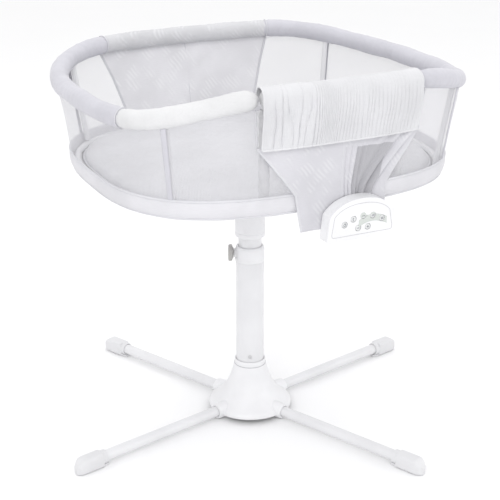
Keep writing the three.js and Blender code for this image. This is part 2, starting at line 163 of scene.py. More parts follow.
def wall_point(degrees, height, out=0.0):
    """A point of the basket's leaning wall at a height above the floor."""
    under = rim_height(degrees) - PAD_RADIUS
    rise = (height - TRAY_TOP) / (under - TRAY_TOP)
    spread = lerp(-0.002, RIM_SPREAD + 0.006, rise)
    side = lerp(-0.002, RIM_SPREAD_SIDE + 0.006, rise)
    p = outline(degrees, spread + out, side + out)
    p.z = height
    return p


# ---- camera ---------------------------------------------------------------------------


def make_camera():
    data = bpy.data.cameras.new("camera")
    camera = bpy.data.objects.new("camera", data)
    bpy.context.scene.collection.objects.link(camera)
    reach, height, tilt = 2.6558, 1.4185, math.radians(21.13)
    camera.location = (reach * math.sin(BASE_TURN), -reach * math.cos(BASE_TURN), height)
    camera.rotation_euler = (math.pi / 2 - tilt, 0, BASE_TURN)
    data.sensor_width = 36
    data.lens = 91.2
    bpy.context.scene.camera = camera


# ---- material nodes -------------------------------------------------------------------


class Graph:
    """A material's node tree, with short calls for the nodes that are used here."""

    def __init__(self, name):
        self.material = bpy.data.materials.new(name)
        self.material.use_nodes = True
        self.tree = self.material.node_tree
        self.shader = self.tree.nodes["Principled BSDF"]

    def node(self, kind, inputs=None, **settings):
        made = self.tree.nodes.new(kind)
        for key, value in settings.items():
            setattr(made, key, value)
        for key, value in (inputs or {}).items():
            self.feed(made.inputs[key], value)
        return made

    def feed(self, socket, value):
        if isinstance(value, bpy.types.NodeSocket):
            self.tree.links.new(value, socket)
        else:
            socket.default_value = value

    def math(self, operation, a, b=0.0):
        return self.node("ShaderNodeMath", {0: a, 1: b}, operation=operation).outputs[0]

    def coordinates(self, kind, scale=1.0, stretch=(1, 1, 1)):
        source = self.node("ShaderNodeTexCoord").outputs[kind]
        size = tuple(scale * s for s in stretch)
        return self.node("ShaderNodeMapping", {"Vector": source, "Scale": size}).outputs[0]

    def noise(self, vector, scale, detail=3.0, roughness=0.5):
        made = self.node(
            "ShaderNodeTexNoise",
            {"Vector": vector, "Scale": scale, "Detail": detail, "Roughness": roughness},
        )
        return made.outputs[0]

    def ramp(self, factor, low, high):
        made = self.node(
            "ShaderNodeMapRange",
            {"Value": factor, "From Min": low, "From Max": high},
            interpolation_type="SMOOTHSTEP",
        )
        return made.outputs[0]

    def stretch(self, factor, low, high):
        return self.node("ShaderNodeMapRange", {"Value": factor, "To Min": low, "To Max": high}).outputs[0]

    def blend(self, factor, a, b):
        made = self.node("ShaderNodeMix", data_type="RGBA")
        self.feed(made.inputs[0], factor)
        self.feed(made.inputs[6], a if isinstance(a, bpy.types.NodeSocket) else (*a, 1))
        self.feed(made.inputs[7], b if isinstance(b, bpy.types.NodeSocket) else (*b, 1))
        return made.outputs[2]

    def bump(self, height, distance, strength=1.0, normal=None):
        inputs = {"Height": height, "Distance": distance, "Strength": strength}
        if normal is not None:
            inputs["Normal"] = normal
        return self.node("ShaderNodeBump", inputs).outputs[0]

    def set(self, **values):
        for key, value in values.items():
            name = key.replace("_", " ")
            self.feed(self.shader.inputs[name], value)
        return self.material


def shade(colour, factor):
    return tuple(c * factor for c in colour)


def weave_height(g, coords, thread):
    """Threads crossing over and under each other, from metric coordinates."""
    split = g.node("ShaderNodeSeparateXYZ", {"Vector": coords})
    turns = math.pi / thread
    warp = g.math("SINE", g.math("MULTIPLY", split.outputs[0], turns))
    weft = g.math("SINE", g.math("MULTIPLY", split.outputs[1], turns))
    extra = g.math("SINE", g.math("MULTIPLY", split.outputs[2], turns))
    crossed = g.math("MULTIPLY", warp, weft)
    return g.math("ADD", crossed, g.math("MULTIPLY", extra, 0.4))


def leaf_print(g, coords, scale):
    """Scattered soft leaf shapes: stretched cells with a midrib, seen tone on tone."""
    warped = g.node("ShaderNodeMapping", {"Vector": coords, "Rotation": (0.3, 0.5, 0.7)}).outputs[0]
    cells = g.node(
        "ShaderNodeTexVoronoi",
        {"Vector": warped, "Scale": scale, "Randomness": 0.85},
        feature="F1", distance="CHEBYCHEV",
    )
    body = g.ramp(cells.outputs["Distance"], 0.44, 0.20)
    veins = g.node(
        "ShaderNodeTexWave",
        {"Vector": warped, "Scale": scale * 1.7, "Distortion": 2.2, "Detail": 1.0},
    )
    return g.math("MULTIPLY", body, g.ramp(veins.outputs["Fac"], 0.1, 0.9))


def patch_mask(g, patch):
    """1 inside a rectangle (u0, u1, v0, v1) of metric coordinates, with soft edges."""
    split = g.node("ShaderNodeSeparateXYZ", {"Vector": g.node("ShaderNodeTexCoord").outputs["UV"]})
    across = g.ramp(split.outputs[0], patch[0] - 0.001, patch[0] + 0.001)
    across = g.math("MULTIPLY", across, g.ramp(split.outputs[0], patch[1] + 0.001, patch[1] - 0.001))
    upward = g.ramp(split.outputs[1], patch[2] - 0.001, patch[2] + 0.001)
    upward = g.math("MULTIPLY", upward, g.ramp(split.outputs[1], patch[3] + 0.001, patch[3] - 0.001))
    return g.math("MULTIPLY", across, upward)


def fabric(name, colour, thread=0.0009, coords="UV", printed=None, patch=None):
    """Woven cloth, tone on tone: threads, slubs, soft creases, and a print where asked for."""
    roughness = 0.88
    g = Graph(name)
    metric = g.coordinates(coords)
    solid = g.coordinates("Object")
    weave = weave_height(g, metric, thread)
    mottle = g.noise(solid, 9.0, 4.0)
    slub = g.noise(g.coordinates(coords, 1.0, (60, 900, 300)), 1.0, 2.0)
    tone = g.blend(g.ramp(mottle, 0.3, 0.7), shade(colour, 0.93), shade(colour, 1.04))
    tone = g.blend(g.math("MULTIPLY", g.ramp(slub, 0.35, 0.75), 0.25), tone, shade(colour, 0.86))
    tone = g.blend(g.math("MULTIPLY", g.ramp(weave, -1.0, 0.2), -0.18), tone, shade(colour, 0.6))
    if printed is not None:
        pattern = leaf_print(g, solid, 26.0)
        tone = g.blend(g.math("MULTIPLY", pattern, 0.5), tone, printed)
    if patch is not None:
        tone = g.blend(patch_mask(g, patch), tone, shade(colour, 0.68))
    height = g.math("ADD", g.math("MULTIPLY", weave, 0.5), g.math("MULTIPLY", slub, 0.6))
    normal = g.bump(height, 0.00022, 0.55)
    creases = g.noise(solid, 34.0, 3.0, 0.6)
    normal = g.bump(creases, 0.0016, 0.22, normal)
    rough = g.stretch(mottle, roughness - 0.05, roughness + 0.06)
    g.set(Base_Color=tone, Roughness=rough, Normal=normal)
    return g.set(Sheen_Weight=0.25, Sheen_Roughness=0.45, Specular_IOR_Level=0.22)


def netting(name, colour, cell=0.0026, thread=0.30):
    """Knitted mesh: threads on two diagonals round open cells, seen through between them."""
    g = Graph(name)
    metric = g.coordinates("UV")
    split = g.node("ShaderNodeSeparateXYZ", {"Vector": metric})
    turns = math.pi / cell
    sides = []
    for sign in (1, -1):
        slant = g.math("ADD", split.outputs[0], g.math("MULTIPLY", split.outputs[1], 0.8 * sign))
        wave = g.math("ABSOLUTE", g.math("SINE", g.math("MULTIPLY", slant, turns)))
        sides.append(g.math("LESS_THAN", wave, thread))
    solid = g.math("MAXIMUM", sides[0], sides[1])
    mottle = g.noise(g.coordinates("Object"), 6.0, 3.0)
    tone = g.blend(g.ramp(mottle, 0.3, 0.7), shade(colour, 0.95), shade(colour, 1.04))
    cover = g.stretch(solid, 0.14, 0.96)
    g.set(Base_Color=tone, Roughness=0.8, Alpha=cover)
    g.set(Normal=g.bump(solid, 0.0004, 0.5))
    return g.set(Sheen_Weight=0.2, Sheen_Roughness=0.5, Specular_IOR_Level=0.2)


def plastic(name, colour, roughness=0.42, grain=0.00006, coat=0.0):
    """Moulded plastic: fine spark-eroded grain, slow sink marks, a little rubbed dust."""
    g = Graph(name)
    solid = g.coordinates("Object")
    fine = g.noise(solid, 1500.0, 2.0)
    slow = g.noise(solid, 14.0, 3.0)
    dust = g.noise(solid, 90.0, 5.0, 0.65)
    tone = g.blend(g.ramp(slow, 0.3, 0.7), shade(colour, 0.965), shade(colour, 1.02))
    tone = g.blend(g.math("MULTIPLY", g.ramp(dust, 0.56, 0.78), 0.18), tone, shade(colour, 0.86))
    rough = g.stretch(dust, roughness - 0.07, roughness + 0.1)
    normal = g.bump(fine, grain, 0.6, g.bump(slow, 0.0008, 0.12))
    g.set(Base_Color=tone, Roughness=rough, Normal=normal)
    return g.set(Coat_Weight=coat, Coat_Roughness=0.2, Specular_IOR_Level=0.45)


def painted(name, colour, roughness=0.34):
    """Powder coat on steel: orange peel, small specks, dulled patches."""
    g = Graph(name)
    solid = g.coordinates("Object")
    peel = g.noise(solid, 420.0, 2.0)
    slow = g.noise(solid, 11.0, 3.0)
    specks = g.noise(solid, 260.0, 4.0, 0.7)
    tone = g.blend(g.ramp(slow, 0.3, 0.7), shade(colour, 0.96), shade(colour, 1.02))
    tone = g.blend(g.math("MULTIPLY", g.ramp(specks, 0.62, 0.74), 0.25), tone, shade(colour, 0.78))
    rough = g.stretch(slow, roughness - 0.06, roughness + 0.1)
    g.set(Base_Color=tone, Roughness=rough, Normal=g.bump(peel, 0.00012, 0.5))
    return g.set(Metallic=0.0, Coat_Weight=0.35, Coat_Roughness=0.18, Specular_IOR_Level=0.5)


def metal(name, colour, roughness=0.32):
    """Plated steel with fine turning lines."""
    g = Graph(name)
    lines = g.noise(g.coordinates("Object", 1.0, (8, 8, 1400)), 1.0, 2.0)
    slow = g.noise(g.coordinates("Object"), 40.0, 3.0)
    tone = g.blend(g.ramp(slow, 0.3, 0.7), shade(colour, 0.9), shade(colour, 1.05))
    rough = g.stretch(lines, roughness - 0.08, roughness + 0.1)
    g.set(Base_Color=tone, Roughness=rough, Normal=g.bump(lines, 0.00005, 0.4))
    return g.set(Metallic=1.0)


def fibreboard(name, colour):
    g = Graph(name)
    chips = g.noise(g.coordinates("Object", 1.0, (1, 1, 3)), 160.0, 6.0, 0.7)
    tone = g.blend(g.ramp(chips, 0.35, 0.65), shade(colour, 0.75), shade(colour, 1.15))
    g.set(Base_Color=tone, Roughness=0.78, Normal=g.bump(chips, 0.0003, 0.4))
    return g.material


def make_materials():
    white = (0.80, 0.80, 0.815)
    looks = {
        "steel_white": painted("steel_paint", (0.74, 0.74, 0.755)),
        "zinc": metal("plated_steel", (0.62, 0.62, 0.63)),
        "shell_plastic": plastic("white_plastic", white, 0.4),
        "nylon": plastic("natural_nylon", (0.62, 0.60, 0.54), 0.55),
        "foot_plastic": plastic("foot_plastic", (0.70, 0.70, 0.715), 0.5, 0.0001),
        "knob_grey": plastic("knob_plastic", (0.47, 0.46, 0.445), 0.45, 0.0001),
        "board": fibreboard("fibreboard", (0.50, 0.37, 0.22)),
        "mattress_cover": fabric("mattress_cotton", (0.60, 0.60, 0.62), coords="Object"),
        "rim_fabric": fabric("rim_weave", (0.56, 0.555, 0.60), coords="Object"),
        "printed_fabric": fabric("printed_weave", (0.60, 0.597, 0.635), printed=(0.70, 0.70, 0.72)),
        "gathered_fabric": fabric("gathered_weave", (0.66, 0.66, 0.68)),
        "netting": netting("open_net", (0.70, 0.695, 0.73)),
        "circuit": plastic("solder_mask", (0.04, 0.16, 0.08), 0.4),
        "button_grey": plastic("button_plastic", (0.68, 0.69, 0.69), 0.5),
    }
    looks["rim_printed"] = fabric(
        "rim_print", (0.60, 0.60, 0.62), coords="Object", printed=(0.70, 0.70, 0.72),
    )
    looks["rim_light"] = fabric("rim_light", (0.68, 0.68, 0.69), coords="Object")
    looks["tray_fabric"] = fabric("tray_weave", (0.675, 0.67, 0.70))
    # The rear panel's look is the printed fabric made lighter: painted light that brightens the panel where
    # it sits in shade.
    looks["rear_panel"] = fabric("rear_weave_painted_light", (0.77, 0.765, 0.79), printed=(0.84, 0.84, 0.855))
    looks["sleeve"] = fabric("sleeve_weave", (0.57, 0.565, 0.61))
    looks["apron"] = fabric(
        "apron_weave", (0.615, 0.61, 0.645), printed=(0.70, 0.70, 0.72), patch=(0.180, 0.252, 0.062, 0.164),
    )
    looks["binding"] = fabric("binding_tape", (0.66, 0.66, 0.69), thread=0.0006)
    looks["hem"] = fabric("hem_tape", (0.70, 0.70, 0.72), thread=0.0006)
    looks["icon"] = plastic("icon_ink", (0.24, 0.25, 0.28), 0.6)
    looks["lens"] = plastic("lens_tint", (0.56, 0.59, 0.565), 0.25, coat=0.5)
    # Darker plastic for grooves and seams: painted shade where the groove would fall dark.
    looks["seam_shadow"] = plastic("seam_painted_shade", (0.52, 0.52, 0.54), 0.7)
    return looks


# ---- mesh building --------------------------------------------------------------------


def new_object(name, mesh):
    made = bpy.data.objects.new(name, mesh)
    bpy.context.scene.collection.objects.link(made)
    return made


def from_bmesh(name, bm, smooth_faces=True):
    bmesh.ops.recalc_face_normals(bm, faces=bm.faces)
    mesh = bpy.data.meshes.new(name)
    bm.to_mesh(mesh)
    bm.free()
    if smooth_faces:
        mesh.shade_smooth()
    return new_object(name, mesh)


def grid(name, place, nu, nv, size=(1.0, 1.0), wrap=False):
    """A sheet from place(u, v), u and v from 0 to 1, with metric UVs of the given size."""
    bm = bmesh.new()
    uv = bm.loops.layers.uv.new("UVMap")
    columns = nu if wrap else nu + 1
    rows = [[bm.verts.new(place(i / nu, j / nv)) for i in range(columns)] for j in range(nv + 1)]
    for j in range(nv):
        for i in range(nu):
            k = (i + 1) % columns
            face = bm.faces.new((rows[j][i], rows[j][k], rows[j + 1][k], rows[j + 1][i]))
            spots = ((i, j), (i + 1, j), (i + 1, j + 1), (i, j + 1))
            for loop, (a, b) in zip(face.loops, spots):
                loop[uv].uv = (a / nu * size[0], b / nv * size[1])
    mesh = bpy.data.meshes.new(name)
    bm.to_mesh(mesh)
    bm.free()
    mesh.shade_smooth()
    return new_object(name, mesh)


def sweep(name, points, radius, sides=12, closed=False, squash=1.0, cap=True):
    """A round bar along points, carried without twist. radius is a number or f(share)."""
    count = len(points)
    bm = bmesh.new()
    uv = bm.loops.layers.uv.new("UVMap")
    rings = []
    lengths = [0.0]
    for a, b in zip(points, points[1:]):
        lengths.append(lengths[-1] + (b - a).length)
    normal = None
    for i, point in enumerate(points):
        if closed:
            along = points[(i + 1) % count] - points[i - 1]
        else:
            along = points[min(i + 1, count - 1)] - points[max(i - 1, 0)]
        along.normalize()
        if normal is None:
            normal = Vector((0, 0, 1)) if abs(along.z) < 0.9 else Vector((1, 0, 0))
        normal = (normal - along * normal.dot(along)).normalized()
        side = along.cross(normal)
        size = radius(i / max(count - 1, 1)) if callable(radius) else radius
        ring = []
        for k in range(sides):
            turn = 2 * math.pi * k / sides
            offset = side * math.cos(turn) * size + normal * math.sin(turn) * size * squash
            ring.append(bm.verts.new(point + offset))
        rings.append(ring)
    spans = count if closed else count - 1
    for i in range(spans):
        a, b = rings[i], rings[(i + 1) % count]
        for k in range(sides):
            n = (k + 1) % sides
            face = bm.faces.new((a[k], a[n], b[n], b[k]))
            ends = (lengths[i], lengths[i + 1] if i + 1 < count else lengths[i] + 0.01)
            girth = 0.01
            spots = ((ends[0], k), (ends[0], k + 1), (ends[1], k + 1), (ends[1], k))
            for loop, (along_at, round_at) in zip(face.loops, spots):
                loop[uv].uv = (along_at, round_at / sides * girth)
    if cap and not closed:
        bm.faces.new(rings[0])
        bm.faces.new(rings[-1])
    return from_bmesh(name, bm)


def lathe(name, profile, segments=96, closed=False):
    """A turned piece about Z. profile is (radius, height) pairs, closed on itself or not."""
    bm = bmesh.new()
    rings = []
    for radius, height in profile:
        if radius < 1e-6:
            rings.append([bm.verts.new((0, 0, height))])
            continue
        ring = []
        for k in range(segments):
            turn = 2 * math.pi * k / segments
            ring.append(bm.verts.new((radius * math.cos(turn), radius * math.sin(turn), height)))
        rings.append(ring)
    pairs = list(zip(rings, rings[1:]))
    if closed:
        pairs.append((rings[-1], rings[0]))
    for a, b in pairs:
        for k in range(segments):
            n = (k + 1) % segments
            if len(a) == 1:
                bm.faces.new((a[0], b[n], b[k]))
            elif len(b) == 1:
                bm.faces.new((a[k], a[n], b[0]))
            else:
                bm.faces.new((a[k], a[n], b[n], b[k]))
    return from_bmesh(name, bm)


def pipe(name, radius, wall, low, high, segments=96):
    """An open tube about Z."""
    inner = radius - wall
    profile = [(inner, low), (radius, low), (radius, high), (inner, high)]
    return lathe(name, profile, segments, closed=True)


def outlined(name, profile, segments=180, closed=False):
    """A turned piece pulled out to the basket's outline; profile is (inset, height) pairs."""
    bm = bmesh.new()
    uv = bm.loops.layers.uv.new("UVMap")
    rings = []
    for inset, height in profile:
        if inset is None:
            rings.append([bm.verts.new((CENTRE_X, 0, height))])
            continue
        ring = []
        for k in range(segments):
            p = outline(360 * k / segments, -inset)
            ring.append(bm.verts.new((p.x, p.y, height)))
        rings.append(ring)
    pairs = list(zip(rings, rings[1:]))
    if closed:
        pairs.append((rings[-1], rings[0]))
    girth = 2 * math.pi * (HALF_LENGTH + HALF_WIDTH) / 2
    across = 0.0
    for a, b in pairs:
        width = (a[0].co - b[0].co).length
        for k in range(segments):
            n = (k + 1) % segments
            if len(a) == 1:
                face = bm.faces.new((a[0], b[k], b[n]))
            elif len(b) == 1:
                face = bm.faces.new((a[k], b[0], a[n]))
            else:
                face = bm.faces.new((a[k], b[k], b[n], a[n]))
            for loop in face.loops:
                near = loop.vert in (a[k % len(a)], b[k % len(b)])
                share = k / segments if near else (k + 1) / segments
                loop[uv].uv = (share * girth, across if loop.vert in a else across + width)
        across += width
    return from_bmesh(name, bm)


def outline_ring(inset, height, count):
    """Points round the basket's outline at an inset and a height."""
    points = []
    for k in range(count):
        p = outline(360 * k / count, -inset)
        points.append(Vector((p.x, p.y, height)))
    return points


def modify(obj, kind, **settings):
    made = obj.modifiers.new(kind.lower(), kind)
    for key, value in settings.items():
        setattr(made, key, value)
    return made


def soften(obj, width, segments=2, angle=35):
    limit = math.radians(angle)
    modify(obj, "BEVEL", width=width, segments=segments, limit_method="ANGLE", angle_limit=limit)
    modify(obj, "WEIGHTED_NORMAL", keep_sharp=True)


def bake(obj):
    """The object's mesh with its modifiers applied."""
    depsgraph = bpy.context.evaluated_depsgraph_get()
    mesh = bpy.data.meshes.new_from_object(obj.evaluated_get(depsgraph))
    old = obj.data
    obj.modifiers.clear()
    obj.data = mesh
    bpy.data.meshes.remove(old)


def dress(obj, body, slot, look=None, replaces=()):
    """Gives a piece its body and its material (the look, else the slot's), and hides the CAD nodes it stands
    for.
    """
    obj.data.materials.clear()
    obj.data.materials.append(looks[look or slot])
    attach(obj, body)
    if replaces:
        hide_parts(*replaces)
    return obj


def turn_with_base(obj, angle=0.0):
    obj.data.transform(Matrix.Rotation(BASE_TURN + angle, 4, "Z"))


def lay_along_leg(obj, angle):
    """Lays a piece turned about Z along the leg at an angle of the base."""
    obj.data.transform(Matrix.Rotation(math.pi / 2, 4, "Y"))
    obj.data.transform(Matrix.Translation((0, 0, LEG_HEIGHT)))
    turn_with_base(obj, angle)


# ---- padded pieces --------------------------------------------------------------------


def inflate(obj, voxel, pressure, cap, frames=20):
    """Puffs a closed form with a cloth simulation and keeps each point within cap."""
    modify(obj, "REMESH", mode="VOXEL", voxel_size=voxel, use_smooth_shade=True)
    bake(obj)
    start = [v.co.copy() for v in obj.data.vertices]
    cloth = modify(obj, "CLOTH")
    settings = cloth.settings
    settings.quality = 5
    settings.mass = 0.25
    settings.tension_stiffness = 12
    settings.compression_stiffness = 12
    settings.shear_stiffness = 4
    settings.bending_stiffness = 0.4
    settings.use_pressure = True
    settings.uniform_pressure_force = pressure
    settings.effector_weights.gravity = 0
    cloth.collision_settings.use_collision = False
    cloth.point_cache.frame_start = 1
    cloth.point_cache.frame_end = frames
    scene = bpy.context.scene
    for step in range(1, frames + 1):
        scene.frame_set(step)
    bake(obj)
    for vertex, origin in zip(obj.data.vertices, start):
        moved = vertex.co - origin
        if moved.length > cap:
            vertex.co = origin + moved.normalized() * cap
    scene.frame_set(1)
    obj.data.shade_smooth()


def displace(obj, height):
    """Moves each vertex along its normal by height(point)."""
    mesh = obj.data
    offsets = [height(v.co) for v in mesh.vertices]
    normals = [v.normal.copy() for v in mesh.vertices]
    for vertex, offset, normal in zip(mesh.vertices, offsets, normals):
        vertex.co += normal * offset
    mesh.update()


def polar(point):
    return math.degrees(math.atan2(point.y, point.x - CENTRE_X))


def angle_gap(a, b):
    return abs((a - b + 180) % 360 - 180)


RIM_SEAMS = (60.5, 125.5, 207.0)
RIM_START = RAIL_END + 0.75
RIM_END = RAIL_START + 360 - 0.75


def rim_wrinkles(point):
    """Shallow creases across the tube, a slow puff along it, and seam pinches."""
    degrees = polar(point)
    across = Vector((degrees * 0.9, point.z * 30, 0.0))
    crease = noise.noise(across) * 0.0011
    fine = noise.noise(Vector((degrees * 2.6, point.z * 55, 7.3))) * 0.0005
    puff = 0.0006 * math.sin(degrees * 0.35)
    pinch = 0.0
    for seam in RIM_SEAMS:
        pinch -= 0.0018 * math.exp(-(angle_gap(degrees, seam) / 0.7) ** 2)
    return crease + fine + puff + pinch


def make_rim():
    steps = 220
    points = [rim_point(lerp(RIM_START, RIM_END, i / steps)) for i in range(steps + 1)]

    def girth(share):
        end = min(share, 1 - share) * steps
        return (PAD_RADIUS - 0.002) * math.sqrt(smooth(-1.2, 2.2, end))

    pad = sweep("rim_padding", points, girth, sides=28)
    inflate(pad, 0.0045, 3.0, 0.0018)
    displace(pad, rim_wrinkles)
    modify(pad, "SUBSURF", levels=1, render_levels=1)
    dress(pad, "basket", "rim_fabric", replaces=["rim_pad"])
    pad.data.materials.append(looks["rim_printed"])
    pad.data.materials.append(looks["rim_light"])
    for face in pad.data.polygons:
        degrees = polar(face.center) % 360
        if RIM_SEAMS[0] < degrees < RIM_SEAMS[1]:
            face.material_index = 1
        elif RIM_SEAMS[2] < degrees < RIM_END:
            face.material_index = 2
    for number, seam in enumerate(RIM_SEAMS):
        ring = rim_ring(f"rim_seam_{number + 1}", seam, PAD_RADIUS - 0.0016, 0.0011)
        dress(ring, "basket", "rim_fabric", "binding")


def rim_ring(name, degrees, radius, thickness):
    """A cord of piping round the rim's tube."""
    centre, side = rim_point(degrees), outward(degrees)
    points = []
    for k in range(40):
        turn = 2 * math.pi * k / 40
        points.append(centre + side * math.cos(turn) * radius + Vector((0, 0, math.sin(turn) * radius)))
    return sweep(name, points, thickness, sides=8, closed=True)


# ---- fabric walls ---------------------------------------------------------------------


def path_length(point, steps):
    """The length of the path point(share), with share from 0 to 1."""
    return sum((point((i + 1) / steps) - point(i / steps)).length for i in range(steps))


def wall_sag(degrees, share):
    """How far the netting is drawn in between the posts, greatest at mid height."""
    nearest = min(angle_gap(degrees, post) for post in POSTS.values())
    pull = smooth(0, 30, nearest)
    ripple = 0.0012 * noise.noise(Vector((degrees * 0.11, share * 2.0, 3.1)))
    return -0.0045 * pull * math.sin(math.pi * share) + ripple * math.sin(math.pi * share)


def edge_angle(levels, share):
    """The angle of a wall's leaning edge, from its values at the tray, band and rim."""
    low, belt, high = levels
    if share < 0.5:
        return lerp(low, belt, share * 2)
    return lerp(belt, high, share * 2 - 1)


def wall_height(degrees, share):
    top = rim_height(degrees) - PAD_RADIUS + 0.004
    if share < 0.5:
        return lerp(TRAY_TOP - 0.002, band_low.z, share * 2)
    return lerp(band_low.z, top, share * 2 - 1)


def wall_edge(levels, out, steps=24):
    """Points up a wall's leaning edge, for its binding."""
    points = []
    for i in range(steps + 1):
        degrees = edge_angle(levels, i / steps)
        points.append(wall_point(degrees, wall_height(degrees, i / steps), out))
    return points


def make_netting(name, start, end, replaces):
    def place(u, v):
        degrees = lerp(edge_angle(start, v), edge_angle(end, v), u)
        return wall_point(degrees, wall_height(degrees, v), wall_sag(degrees, v))

    length = path_length(lambda u: place(u, 0.5), 60)
    width = path_length(lambda v: place(0.5, v), 20)
    net = grid(name, place, 120, 22, (length, width))
    dress(net, "basket", "netting", replaces=replaces)
    for side, levels in (("start", start), ("end", end)):
        tape = sweep(f"{name}_{side}_binding", wall_edge(levels, 0.0006), 0.0021, sides=8, squash=0.7)
        dress(tape, "basket", "netting", "binding")


def make_post_sleeves():
    """Narrow fabric channels that hide each post behind the netting."""
    for number, (post_name, post) in enumerate(POSTS.items(), 1):
        def place(u, v):
            degrees = post + (u - 0.5) * 1.5
            height = lerp(TRAY_TOP, rim_height(degrees) - PAD_RADIUS + 0.003, v)
            swell = 0.0012 * math.sin(math.pi * u)
            return wall_point(degrees, height, 0.0008 + swell)

        width = (place(0, 0.5) - place(1, 0.5)).length
        length = rim_height(post) - PAD_RADIUS - TRAY_TOP
        sleeve = grid(f"post_sleeve_{number}", place, 8, 30, (width, length))
        modify(sleeve, "SOLIDIFY", thickness=0.0006)
        dress(sleeve, "basket", "netting", "sleeve")


REAR_START = (65.1, 62.4, 60.3)
REAR_END = (117.4, 122.0, 125.7)
REAR_MIDDLE = (91.5, 92.0, 92.5)


def make_rear_panel():
    def place(u, v):
        degrees = lerp(edge_angle(REAR_START, v), edge_angle(REAR_END, v), u)
        middle = lerp(REAR_START[0], REAR_END[0], 0.52)
        crease = -0.0035 * math.exp(-(((degrees - middle) / 1.6) ** 2))
        streak = noise.noise(Vector((degrees * 0.13 + v * 2.2, v * 1.2 - degrees * 0.05, 5.0))) * 0.0035
        edge = math.sin(math.pi * u) * math.sin(math.pi * v)
        return wall_point(degrees, wall_height(degrees, v), 0.001 + (crease + streak) * edge)

    length = path_length(lambda u: place(u, 0.5), 60)
    width = (place(0.5, 0) - place(0.5, 1)).length
    panel = grid("rear_printed_panel", place, 110, 44, (length, width))
    modify(panel, "SOLIDIFY", thickness=0.0022, offset=0)
    # The panel takes the lightened printed fabric, painted light standing in for the brightness it lacks in
    # shade.
    dress(panel, "basket", "printed_fabric", "rear_panel", ["rear_panel"])
    for side, levels, radius in (
        ("left", REAR_END, 0.0024), ("right", REAR_START, 0.0024), ("middle", REAR_MIDDLE, 0.0014),
    ):
        piping = sweep(f"rear_piping_{side}", wall_edge(levels, -0.0005), radius, sides=8)
        dress(piping, "basket", "printed_fabric", "binding")


# ---- tray and mattress ----------------------------------------------------------------


def tray_ripple(point):
    degrees = polar(point)
    return 0.0007 * noise.noise(Vector((degrees * 0.25, point.z * 60, 1.7)))


def make_tray():
    t, b = TRAY_TOP, TRAY_BOTTOM
    wall = 0.004
    profile = [
        (None, b), (0.200, b), (0.120, b), (0.070, b), (0.045, b + 0.0002), (0.034, b + 0.0006),
        (0.024, b + 0.0018),
        (0.015, b + 0.0045), (0.008, b + 0.009), (0.0035, b + 0.015), (0.0010, b + 0.021),
        (0.0, b + 0.027),
        (-0.0006, b + 0.034), (-0.0003, t - 0.006), (0.0003, t - 0.002), (0.0012, t), (wall, t),
        (wall + 0.0006, t - 0.004),
        (wall + 0.0006, b + 0.026), (0.012, b + 0.012), (0.024, b + 0.005), (0.045, b + 0.004),
        (0.2, b + 0.004),
        (None, b + 0.004),
    ]
    tray = outlined("tray_cover", profile, 240)
    modify(tray, "SUBSURF", levels=1, render_levels=1)
    bake(tray)
    displace(tray, tray_ripple)
    dress(tray, "basket", "shell_plastic", "tray_fabric", replaces=["tray_shell"])
    for name, inset, height, radius in (
        ("tray_top_piping", 0.0012, t + 0.0004, 0.0026),
        ("tray_lower_piping", 0.0066, b + 0.0105, 0.0016),
    ):
        piping = sweep(name, outline_ring(inset, height, 240), radius, sides=8, closed=True)
        dress(piping, "basket", "shell_plastic", "binding")


def quilting(point):
    """Sewn channels on the mattress's faces, on a diagonal grid, and a little loft between."""
    across = mattress_high.z - mattress_low.z
    level = abs(point.z - (mattress_low.z + mattress_high.z) / 2) / (across / 2)
    if level < 0.75:
        return 0.0006 * noise.noise(point * 60)
    pitch = 0.058
    a = (point.x + point.y) / pitch
    b = (point.x - point.y) / pitch
    near = min(abs(a - round(a)), abs(b - round(b)))
    return -0.0024 * math.exp(-((near / 0.055) ** 2)) + 0.0004 * noise.noise(point * 45)


def make_mattress():
    low, high = mattress_low.z + 0.0015, mattress_high.z - 0.001
    middle = (low + high) / 2
    profile = [
        (None, low), (0.060, low), (0.038, low + 0.001), (0.031, low + 0.006), (0.029, middle),
        (0.031, high - 0.006), (0.038, high - 0.001), (0.060, high), (None, high),
    ]
    pad = outlined("mattress_cushion", profile, 120)
    inflate(pad, 0.006, 0.6, 0.0012)
    displace(pad, quilting)
    modify(pad, "SUBSURF", levels=1, render_levels=1)
    dress(pad, "basket", "mattress_cover", replaces=["mattress_pad"])
    ring = outline_ring(0.0285, middle, 200)
    piping = sweep("mattress_piping", ring, 0.0017, sides=8, closed=True)
    dress(piping, "basket", "mattress_cover", "binding")


# ---- bedside rail ---------------------------------------------------------------------


def gathers(metres, drop):
    """Height of the ruched folds: broad on the left, fine on the right, wavering down."""
    sway = 0.0016 * noise.noise(Vector((metres * 30, drop * 5, 2.0)))
    x = metres + sway
    broad = 1 - smooth(0.10, 0.17, metres)
    pitch_phase = x / 0.0185 * broad + x / 0.0088 * (1 - broad)
    jitter = 0.75 * noise.noise(Vector((metres * 42, 0.7, drop * 1.2)))
    fold = abs(math.sin(math.pi * (pitch_phase + jitter))) ** 0.75 - 0.55
    fine = noise.noise(Vector((metres * 260, drop * 8, 9.0))) * 0.35
    depth = lerp(0.0021, 0.0046, broad)
    return depth * (fold + fine)


def band_section(share):
    """(outward, up) from the rim's centre line: over the rail, then down to the hem."""
    radius = PAD_RADIUS + 0.0012
    start, end = math.radians(205), math.radians(-8)
    arc = radius * (start - end)
    drop = RIM_FRONT - band_low.z
    total = arc + drop
    at = share * total
    if at < arc:
        turn = lerp(start, end, at / arc)
        return radius * math.cos(turn), radius * math.sin(turn)
    down = (at - arc) / drop
    out = lerp(radius * math.cos(end), 0.0115, smooth(0, 1, down)) + 0.0022 * math.sin(math.pi * down)
    return out, lerp(radius * math.sin(end), -drop, down)


